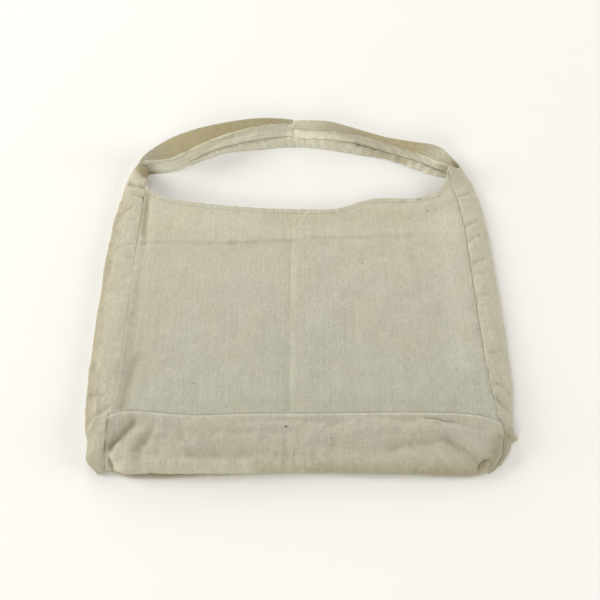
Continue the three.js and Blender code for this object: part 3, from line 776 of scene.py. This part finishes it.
def base_piece():
    across, down = np.meshgrid(np.linspace(0, 1, BASE_COLUMNS + 1), np.linspace(0, 1, BASE_ROWS + 1))
    grid = base_grid(across, down)
    x, y = grid[..., 0], grid[..., 1]
    girth = lengths_along(grid)
    visible = 1 - smooth(down, FOLDS_FADE, FOLDS_END)
    free = visible * smooth(np.minimum(across, 1 - across), 0, BASE_END_STILL) * smooth(girth, 0, SEAM_STILL)
    ridge = SEAM_RIDGE * bell(girth, 2 * SEAM_SOFT)
    press = (fold_depth(x, y, BASE_FOLDS) - base_wrinkles(x, girth)) * free - ridge
    grid = grid + grid_normals(grid) * press[..., None]
    flat = np.stack([x, BASE_DEPTH - girth], -1)
    # painted highlight along the lit ridge of the base's top edge
    ridge_highlight = -RIDGE_HIGHLIGHT_SHARE * bell(girth, RIDGE_HIGHLIGHT)
    over_lip = smooth(lip_at(x_between(FOOT, across)), 0, LIP_SHOWS)
    # painted shade in the crease where the belly overhangs the base's lower layer
    crevice_shade = CREVICE_SHADE * over_lip * bell(down - NOSE_STARTS, LIP_LINE)
    shade_and_marks = fold_depth(x, y, BASE_SHADE) * visible + crevice_shade
    return cloth("base_cloth", grid[::-1], flat[::-1], light_and_shade=ridge_highlight[::-1], shade_and_marks=shade_and_marks[::-1])


def capsules(name, starts, ends, radii):
    """One mesh of many short rods with pointed ends, from their starts, ends and radii."""
    radii = radii[:, None]
    run = unit(ends - starts)
    side = unit(np.cross(run, (0, 0, 1)))
    up = np.cross(side, run)
    sides = CAPSULE_SIDES
    turns = np.arange(sides) * 2 * math.pi / sides
    ring = [radii * (math.cos(turn) * side + math.sin(turn) * up) for turn in turns]
    tips = [starts - radii * run, ends + radii * run]
    rods = np.stack([starts + r for r in ring] + [ends + r for r in ring] + tips, 1)
    pattern = []
    for k in range(sides):
        after = (k + 1) % sides
        pattern.append((k, after, sides + after, sides + k))
        pattern.append((after, k, 2 * sides))
        pattern.append((sides + k, sides + after, 2 * sides + 1))
    size = rods.shape[1]
    faces = [tuple(size * n + corner for corner in face) for n in range(len(rods)) for face in pattern]
    return new_mesh(name, rods.reshape(-1, 3), faces)


def hem_stitches(top):
    """A row of stitches along the mouth, at an even distance from the front panel's edge."""
    from_mouth = top[::-1]
    inset = lengths_along(from_mouth)
    line = np.array([
        [np.interp(HEM_STITCH, inset[:, column], from_mouth[:, column, axis]) for axis in range(3)]
        for column in range(top.shape[1])
    ])
    length = lengths_along(line)

    def place(distance):
        return np.stack([np.interp(distance, length, line[:, axis]) for axis in range(3)], -1)

    begins = np.arange(STITCH_PITCH, length[-1] - STITCH_PITCH, STITCH_PITCH)
    radii = np.full(len(begins), STITCH_RADIUS)
    return capsules("hem_stitches", place(begins), place(begins + STITCH_LENGTH), radii)


def knots(name, places, skin, near=2.5):
    x, y, length, radius, direction = np.array(places, float).T
    close = np.hypot(skin[:, 0] - x[:, None], skin[:, 1] - y[:, None]) < near
    z = np.where(close, skin[:, 2], 0).max(1)
    angle = np.radians(direction)
    middle = np.stack([x, y, z], -1)
    half = np.stack([np.cos(angle), np.sin(angle), 0 * angle], -1) * length[:, None] / 2
    return capsules(name, middle - half, middle + half, radius)


# Materials. Sizes on the cloth are millimetres, and tones multiply the yarn's colour.
CLOTH_SURFACE = {"Roughness": 0.95, "Specular IOR Level": 0.15, "Sheen Weight": 0.1, "Sheen Roughness": 0.6}
YARN_SURFACE = {"Roughness": 0.9}
FLOOR_SURFACE = {"Roughness": 0.9, "Base Color": (0.92, 0.9, 0.845, 1)}
FLECK_SCALE = 900  # flecks in a metre of plain yarn
THREAD = 0.95  # distance between threads
WAVES_PER_UNIT = 3  # about how many waves a wave texture of scale 1 has in one unit
WAVES = {"Scale": 1 / (THREAD * MM) / WAVES_PER_UNIT, "Distortion": 1.2, "Detail": 1, "Detail Scale": 0.6}
SLUB_LENGTH = 8  # length of a thicker stretch of thread
# Textures of the cloth, as size across, size along and detail
GRAIN = {
    "warp": (1.2 * THREAD, SLUB_LENGTH, 2),
    "weft": (SLUB_LENGTH, 1.3 * THREAD, 2),
    "ribs": (2.4, 70, 2),
    "blotches": (26, 18, 3),
    "patches": (45, 60, 2),
}
GRAIN_ROUGHNESS = 0.55
WARP_SHARE, WEFT_SHARE = 0.55, 0.45
THREAD_SHARE, BLOTCH_SHARE, RIB_SHARE = 0.65, 0.15, 0.2
DARK_BELOW, LIGHT_ABOVE = 0.38, 0.62  # shades between which the yarn goes from dark to light
WEAVE_SHARE, BUMP_STRENGTH, BUMP_DEPTH = 0.5, 0.6, 0.5
INSIDE_TONE = (0.84, 0.775, 0.61, 1)  # the strap's shaded inside
PALER_TONE = (1.55, 1.61, 1.68, 1)  # painted light: the strap's strip, its edge and the right strap's lit end, the base's top ridge, and a few lighter places on the front panel
SHADE_AND_MARK_TONE = (0.58, 0.53, 0.4, 1)  # painted shade, and a few darker lines on the front panel
WARM, COOL = (1.015, 1, 0.97, 1), (0.985, 1, 1.02, 1)  # soft patches
TONE_REACH = 0.32  # metres up the cut cloth that the tones below cover
# Tones at shares of that height, painted shade and light: on the panels and bands darker low down and
# lighter above the packing crease, on the base darker at its low edge and lighter on the roll above it
PANEL_TONES = (
    (0.06, (0.865, 0.887, 0.92, 1)),
    (0.38, (0.91, 0.92, 0.945, 1)),
    (0.56, (0.965, 0.96, 0.985, 1)),
    (0.68, (0.965, 0.96, 0.98, 1)),
    (0.75, (1.005, 1, 0.985, 1)),
)
BAND_TONES = ((0, (0.86, 0.86, 0.86, 1)), (0.3, (0.91, 0.91, 0.92, 1)), (0.6, (1, 1, 1, 1)))
BASE_TONES = (
    (0.055, (0.86, 0.85, 0.8, 1)),
    (0.09, (1.06, 1.05, 1.02, 1)),
    (0.13, (1.06, 1.05, 1.03, 1)),
    (0.17, (1, 1, 1, 1)),
)
# Light and dark yarn of each cotton, and its tones
COTTONS = {
    "panel_cotton": ((0.615, 0.58, 0.445, 1), (0.49, 0.455, 0.34, 1), PANEL_TONES),
    "band_cotton": ((0.605, 0.565, 0.43, 1), (0.49, 0.45, 0.33, 1), BAND_TONES),
    "base_cotton": ((0.545, 0.512, 0.4, 1), (0.438, 0.41, 0.312, 1), BASE_TONES),
}
# Light and dark shade of the stitches and knots
YARNS = {
    "thread_paint": ((0.56, 0.52, 0.39, 1), (0.44, 0.4, 0.29, 1)),
    "dark_yarn": ((0.2, 0.16, 0.1, 1), (0.12, 0.09, 0.05, 1)),
    "pale_yarn": ((0.85, 0.8, 0.62, 1), (0.72, 0.66, 0.46, 1)),
}


class Look:
    """A new material, and short ways to add nodes to it and join them."""

    def __init__(self, name, surface):
        self.material = bpy.data.materials.new(name)
        self.material.use_nodes = True
        self.tree = self.material.node_tree
        self.shader = self.tree.nodes["Principled BSDF"]
        self.fill(self.shader, surface)

    def join(self, value, socket):
        if isinstance(value, bpy.types.NodeSocket):
            self.tree.links.new(value, socket)
        else:
            socket.default_value = value

    def fill(self, node, inputs):
        for key, value in inputs.items():
            self.join(value, node.inputs[key])

    def make(self, kind, inputs, **settings):
        node = self.tree.nodes.new("ShaderNode" + kind)
        for key, value in settings.items():
            setattr(node, key, value)
        self.fill(node, inputs)
        return node

    def attribute(self, name):
        return self.make("Attribute", {}, attribute_name=name).outputs["Fac"]

    def math(self, operation, first, second):
        return self.make("Math", {0: first, 1: second}, operation=operation).outputs["Value"]

    def weighted(self, *terms):
        """The sum of values, each times its weight."""
        total = 0.0
        for value, weight in terms:
            total = self.math("ADD", total, self.math("MULTIPLY", value, weight))
        return total

    def between(self, value, low, high):
        """0 where value is low, 1 where it is high."""
        limits = {"Value": value, "From Min": low, "From Max": high}
        return self.make("MapRange", limits).outputs["Result"]

    def mix(self, first, second, share, blend="MIX"):
        node = self.make("Mix", {"Factor": share}, data_type="RGBA", blend_type=blend)
        colours = [socket for socket in node.inputs if socket.type == "RGBA"]
        self.join(first, colours[0])
        self.join(second, colours[1])
        return next(socket for socket in node.outputs if socket.type == "RGBA")

    def toned(self, colour, tone, share=1.0):
        return self.mix(colour, tone, share, "MULTIPLY")

    def grain(self, place, across, along, detail):
        """Noise of a size across and along the cloth."""
        scale = (1 / (across * MM), 1 / (along * MM), 1)
        mapped = self.make("Mapping", {"Vector": place, "Scale": scale}).outputs["Vector"]
        inputs = {"Vector": mapped, "Scale": 1.0, "Detail": detail, "Roughness": GRAIN_ROUGHNESS}
        return self.make("TexNoise", inputs, noise_dimensions="2D").outputs["Fac"]

    def waves(self, place, direction):
        inputs = {"Vector": place, **WAVES}
        return self.make("TexWave", inputs, bands_direction=direction).outputs["Fac"]

    def ramp(self, value, tones):
        """A colour ramp with a stop at each share of a table."""
        node = self.make("ValToRGB", {"Fac": value})
        stops = node.color_ramp.elements
        while len(stops) < len(tones):
            stops.new(1.0)
        for stop, (share, tone) in zip(stops, tones):
            stop.position = share
            stop.color = tone
        return node.outputs["Color"]


def cotton(name, light, dark, tones):
    """Unbleached plain-weave cotton: two shades of yarn, thicker slubs both ways, soft blotches."""
    look = Look(name, CLOTH_SURFACE)
    place = look.make("UVMap", {}, uv_map="cloth").outputs["UV"]
    grain = {kind: look.grain(place, *sizes) for kind, sizes in GRAIN.items()}
    threads = look.weighted((grain["warp"], WARP_SHARE), (grain["weft"], WEFT_SHARE))
    shade = look.weighted(
        (threads, THREAD_SHARE), (grain["blotches"], BLOTCH_SHARE), (grain["ribs"], RIB_SHARE),
    )
    yarn = look.mix(dark, light, look.between(shade, DARK_BELOW, LIGHT_ABOVE))
    up_cloth = look.make("SeparateXYZ", {"Vector": place}).outputs["Y"]
    # painted shade and light by height up the cut cloth
    shading_by_height = look.ramp(look.between(up_cloth, 0.0, TONE_REACH), tones)
    light_and_shade = look.attribute("light_and_shade")
    colour = look.toned(yarn, look.mix(COOL, WARM, grain["patches"]))
    colour = look.toned(colour, shading_by_height)
    # painted shade on the strap's inside
    colour = look.toned(colour, INSIDE_TONE, look.math("MAXIMUM", light_and_shade, 0.0))
    # the paler tone: painted light on the strap and the base's top ridge, and a few lighter places on the
    # front
    paler_share = look.math("MULTIPLY", light_and_shade, -1.0)
    colour = look.toned(colour, PALER_TONE, look.math("MAXIMUM", paler_share, 0.0))
    # painted shade in folds, hollows, seams and grooves, and a few darker lines
    colour = look.toned(colour, SHADE_AND_MARK_TONE, look.attribute("shade_and_marks"))
    weave = look.math("MULTIPLY", look.waves(place, "X"), look.waves(place, "Y"))
    height = look.weighted((weave, WEAVE_SHARE), (threads, 1.0))
    relief = {"Height": height, "Strength": BUMP_STRENGTH, "Distance": BUMP_DEPTH * MM}
    bump = look.make("Bump", relief).outputs["Normal"]
    look.fill(look.shader, {"Base Color": colour, "Normal": bump})
    return look.material


def plain_yarn(name, light, dark):
    look = Look(name, YARN_SURFACE)
    place = look.make("TexCoord", {}).outputs["Object"]
    fleck = look.make("TexNoise", {"Vector": place, "Scale": FLECK_SCALE}).outputs["Fac"]
    colour = look.ramp(fleck, ((0.0, dark), (1.0, light)))
    look.fill(look.shader, {"Base Color": colour})
    return look.material


# The imported node that each sheet stands for, and a slot name that is not used
STANDS_FOR = {
    "front_cloth": ("front_panel", "panel_cloth"),
    "back_cloth": ("back_panel", "panel_cloth"),
    "base_cloth": ("base_panel", "base_cloth"),
    "left_band_cloth": ("left_side_band", "band_cloth"),
    "right_band_cloth": ("right_side_band", "band_cloth"),
}


def finish_piece(piece, material, sheet):
    node, slot = STANDS_FOR[sheet]
    piece.data.materials.append(material)
    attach(piece, "root")
    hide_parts(node)


cottons = {name: cotton(name, *settings) for name, settings in COTTONS.items()}
yarns = {name: plain_yarn(name, *shades) for name, shades in YARNS.items()}

front, front_top = front_piece()
back = back_piece()
base = base_piece()
left_band = band_piece("left_band_cloth", left, LEFT_FOLDS, LEFT_SHADE, SEEDS["left"])
right_band = band_piece("right_band_cloth", right, RIGHT_FOLDS, RIGHT_SHADE, SEEDS["right"])
sheets = {front: "panel", back: "panel", base: "base", left_band: "band", right_band: "band"}
for piece, kind in sheets.items():
    finish_piece(piece, cottons[f"{kind}_cotton"], piece.name)

finish_piece(hem_stitches(front_top), yarns["thread_paint"], "front_cloth")
for table, word in ((DARK_KNOTS, "dark"), (PALE_KNOTS, "pale")):
    for sheet, places in table.items():
        piece = knots(f"{word}_knots_on_{sheet}", places, skins[sheet])
        finish_piece(piece, yarns[f"{word}_yarn"], sheet)

# Stage, light and camera
FLOOR_SIZE = 8  # metres
WORLD_COLOUR, WORLD_STRENGTH = (1, 1, 1, 1), 0.35
CAMERA_PLACE = (-3.5, -406.8, 798.8)
CAMERA_ELEVATION = 55
FOCAL_PIXELS, FRAME_PIXELS, SENSOR = 867, 600, 36
CLIP_START = 0.01
# Lamps as bearing, 90 on the strap's side, height angle, distance, size and light on the floor
LAMPS = {
    "soft box over the strap": (135, 60, 4, 1.8, 0.07),
    "low lamp at the left": (165, 18, 4.5, 2, 0.2),
    "low lamp behind the strap": (105, 18, 4.5, 2, 0.12),
    "low lamp at the right": (6, 18, 4.5, 2, 0.17),
    "lamp beside the camera": (-112, 24, 4, 1.8, 0.18),
}


def add_floor():
    half = FLOOR_SIZE / 2 / MM
    corners = [(-half, -half, 0), (half, -half, 0), (half, half, 0), (-half, half, 0)]
    floor = new_mesh("floor", corners, [(0, 1, 2, 3)])
    floor.data.materials.append(Look("floor_paint", FLOOR_SURFACE).material)


def add_lamp(name, bearing, height, distance, size, share):
    lamp = bpy.data.lights.new(name, "AREA")
    lamp.shape = "DISK"
    lamp.size = size
    turn, rise = math.radians(bearing), math.radians(height)
    lamp.energy = share * (math.pi * distance) ** 2 / math.sin(rise)
    holder = new_object(name, lamp)
    level = distance * math.cos(rise)
    holder.location = (level * math.cos(turn), level * math.sin(turn), distance * math.sin(rise))
    holder.rotation_euler = (-holder.location).to_track_quat("-Z", "Y").to_euler()


def add_camera():
    camera = bpy.data.cameras.new("camera")
    camera.sensor_width = SENSOR
    camera.lens = FOCAL_PIXELS / FRAME_PIXELS * SENSOR
    camera.clip_start = CLIP_START
    view = new_object("camera", camera)
    view.location = to_frame(CAMERA_PLACE)
    view.rotation_euler = (math.radians(90 - CAMERA_ELEVATION), 0, 0)
    bpy.context.scene.camera = view


def add_world():
    world = bpy.data.worlds.new("studio")
    world.use_nodes = True
    background = world.node_tree.nodes["Background"]
    background.inputs["Color"].default_value = WORLD_COLOUR
    background.inputs["Strength"].default_value = WORLD_STRENGTH
    bpy.context.scene.world = world


add_floor()
add_world()
for name, settings in LAMPS.items():
    add_lamp(name, *settings)
add_camera()
bpy.context.scene.view_settings.view_transform = "Standard"
